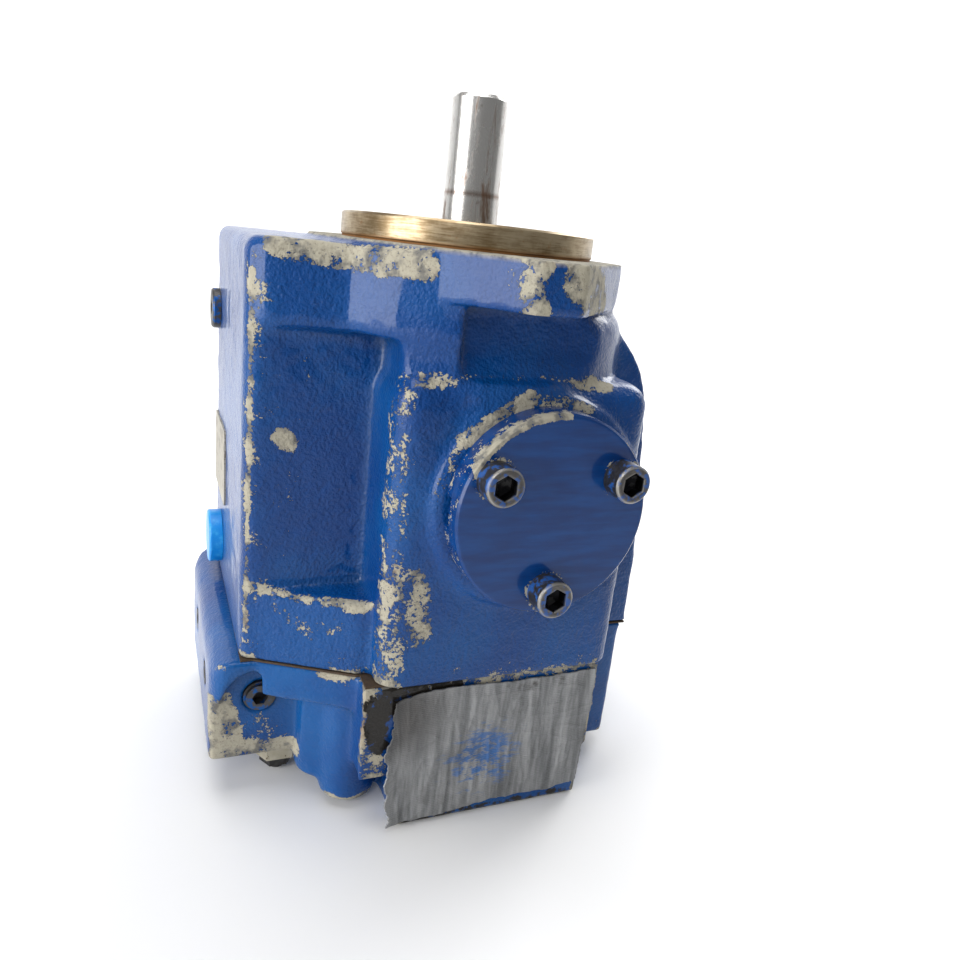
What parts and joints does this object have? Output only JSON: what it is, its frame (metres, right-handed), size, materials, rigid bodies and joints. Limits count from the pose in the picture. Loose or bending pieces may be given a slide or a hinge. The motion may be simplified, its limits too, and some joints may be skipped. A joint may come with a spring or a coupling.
{
  "type": "axial piston pump",
  "caption": "Variable axial piston pump with a cast case, two bolt mounting flange, straight keyed shaft, trunnion caps and a port block, with its inlet taped over.",
  "frame": {"origin": "on the shaft axis at the mounting face, where the pilot starts", "axes": "+Z along the shaft towards its free end, -Y towards the inlet port, +X to the right when facing the inlet port"},
  "size_m": [0.189, 0.1762, 0.2879],
  "materials": {
    "blue_casting": "glossy blue paint over rough cast iron, chipped at the edges",
    "machined_steel": "ground and turned steel",
    "screw_steel": "black oxide steel with paint overspray",
    "zinc_steel": "yellowed zinc plated steel",
    "bronze": "bearing bronze",
    "rubber": "oil resistant rubber",
    "gasket_paper": "brown gasket sheet",
    "tape": "silver grey cloth tape, wrinkled and smudged",
    "cap_plastic": "bright blue plastic",
    "plate_aluminium": "dull blank plate",
    "spring_steel": "spring wire"
  },
  "bodies": {
    "housing": {"case": "blue_casting", "port_block": "blue_casting", "joint_gasket": "gasket_paper", "block_screws": "screw_steel", "front_trunnion_cap": "blue_casting", "rear_trunnion_cap": "blue_casting", "front_cap_screws": "screw_steel", "rear_cap_screws": "screw_steel", "trunnion_cap_seals": "rubber", "trunnion_bushes": "bronze", "front_bearing_outer_race": "machined_steel", "bearing_housing_ring": "spring_steel", "seal_retaining_ring": "spring_steel", "shaft_seal": "rubber", "rear_bearing_bush": "bronze", "valve_plate": "bronze", "control_sleeve": "machined_steel", "compensator_housing": "zinc_steel", "compensator_lock_nut": "screw_steel", "corner_plug": "screw_steel", "flank_plugs": "screw_steel", "drain_cap": "cap_plastic", "case_plug": "screw_steel", "name_plate": "plate_aluminium", "inlet_tape": "tape"},
    "shaft_group": {"shaft": "machined_steel", "cylinder_barrel": "machined_steel", "front_bearing_inner_race": "machined_steel", "bearing_shaft_ring": "spring_steel", "hold_down_ball": "machined_steel", "barrel_spring": "spring_steel"},
    "ball_set": {"bearing_balls": "machined_steel", "bearing_cage": "bronze"},
    "yoke_group": {"yoke": "machined_steel", "wear_plate": "bronze"},
    "shoe_ring": {"shoe_retainer": "machined_steel", "shoe_1": "bronze", "shoe_2": "bronze", "shoe_3": "bronze", "shoe_4": "bronze", "shoe_5": "bronze", "shoe_6": "bronze", "shoe_7": "bronze", "shoe_8": "bronze", "shoe_9": "bronze"},
    "control_piston": {"control_piston": "machined_steel"},
    "bias_plunger": {"bias_plunger": "machined_steel", "bias_spring": "spring_steel"},
    "compensator_spool": {"compensator_spool": "machined_steel", "compensator_spring": "spring_steel"},
    "compensator_screw": {"compensator_screw": "screw_steel"},
    "piston_1": {"piston_1": "machined_steel"},
    "piston_2": {"piston_2": "machined_steel"},
    "piston_3": {"piston_3": "machined_steel"},
    "piston_4": {"piston_4": "machined_steel"},
    "piston_5": {"piston_5": "machined_steel"},
    "piston_6": {"piston_6": "machined_steel"},
    "piston_7": {"piston_7": "machined_steel"},
    "piston_8": {"piston_8": "machined_steel"},
    "piston_9": {"piston_9": "machined_steel"}
  },
  "joints": [
    {"name": "shaft_spin", "type": "hinge", "parent": "housing", "child": "shaft_group", "pos_m": [0, 0, 0], "axis": [0, 0, 1], "continuous": true},
    {"name": "ball_set_spin", "type": "hinge", "parent": "housing", "child": "ball_set", "pos_m": [0, 0, 0], "axis": [0, 0, 1], "continuous": true},
    {"name": "yoke_tilt", "type": "hinge", "parent": "housing", "child": "yoke_group", "pos_m": [0.0135, 0, -0.0884], "axis": [0, 1, 0], "range_deg": [0, 17]},
    {"name": "shoe_ring_spin", "type": "hinge", "parent": "yoke_group", "child": "shoe_ring", "pos_m": [0, 0, -0.0884], "axis": [0, 0, 1], "continuous": true},
    {"name": "piston_1_stroke", "type": "slide", "parent": "shaft_group", "child": "piston_1", "axis": [0, 0, 1], "range_m": [-0.0102, 0.0133]},
    {"name": "piston_2_stroke", "type": "slide", "parent": "shaft_group", "child": "piston_2", "axis": [0, 0, 1], "range_m": [-0.0102, 0.0133]},
    {"name": "piston_3_stroke", "type": "slide", "parent": "shaft_group", "child": "piston_3", "axis": [0, 0, 1], "range_m": [-0.0102, 0.0133]},
    {"name": "piston_4_stroke", "type": "slide", "parent": "shaft_group", "child": "piston_4", "axis": [0, 0, 1], "range_m": [-0.0102, 0.0133]},
    {"name": "piston_5_stroke", "type": "slide", "parent": "shaft_group", "child": "piston_5", "axis": [0, 0, 1], "range_m": [-0.0102, 0.0133]},
    {"name": "piston_6_stroke", "type": "slide", "parent": "shaft_group", "child": "piston_6", "axis": [0, 0, 1], "range_m": [-0.0102, 0.0133]},
    {"name": "piston_7_stroke", "type": "slide", "parent": "shaft_group", "child": "piston_7", "axis": [0, 0, 1], "range_m": [-0.0102, 0.0133]},
    {"name": "piston_8_stroke", "type": "slide", "parent": "shaft_group", "child": "piston_8", "axis": [0, 0, 1], "range_m": [-0.0102, 0.0133]},
    {"name": "piston_9_stroke", "type": "slide", "parent": "shaft_group", "child": "piston_9", "axis": [0, 0, 1], "range_m": [-0.0102, 0.0133]},
    {"name": "control_piston_stroke", "type": "slide", "parent": "housing", "child": "control_piston", "axis": [0, 0, 1], "range_m": [-0.015, 0]},
    {"name": "bias_plunger_stroke", "type": "slide", "parent": "housing", "child": "bias_plunger", "axis": [0, 0, 1], "range_m": [0, 0.0212], "deforming": ["bias_spring"]},
    {"name": "compensator_spool_shift", "type": "slide", "parent": "housing", "child": "compensator_spool", "axis": [0, 0, 1], "range_m": [0, 0.0025], "deforming": ["compensator_spring"]},
    {"name": "compensator_screw_turn", "type": "hinge", "parent": "housing", "child": "compensator_screw", "pos_m": [-0.071, -0.008, -0.2109], "axis": [0, 0, 1], "range_deg": [-720, 720]}
  ],
  "couplings": [
    {"joint": "ball_set_spin", "follows": "shaft_spin", "ratio": 0.4},
    {"joint": "shoe_ring_spin", "follows": "shaft_spin", "ratio": 1},
    {"joint": "piston_1_stroke", "follows": "yoke_tilt", "m_per_rad": -0.033703},
    {"joint": "piston_2_stroke", "follows": "yoke_tilt", "m_per_rad": -0.033703},
    {"joint": "piston_3_stroke", "follows": "yoke_tilt", "m_per_rad": -0.033703},
    {"joint": "piston_4_stroke", "follows": "yoke_tilt", "m_per_rad": -0.033703},
    {"joint": "piston_5_stroke", "follows": "yoke_tilt", "m_per_rad": -0.033703},
    {"joint": "piston_6_stroke", "follows": "yoke_tilt", "m_per_rad": -0.033703},
    {"joint": "piston_7_stroke", "follows": "yoke_tilt", "m_per_rad": -0.033703},
    {"joint": "piston_8_stroke", "follows": "yoke_tilt", "m_per_rad": -0.033703},
    {"joint": "piston_9_stroke", "follows": "yoke_tilt", "m_per_rad": -0.033703},
    {"joint": "control_piston_stroke", "follows": "yoke_tilt", "m_per_rad": -0.049207},
    {"joint": "bias_plunger_stroke", "follows": "yoke_tilt", "m_per_rad": 0.07044}
  ]
}
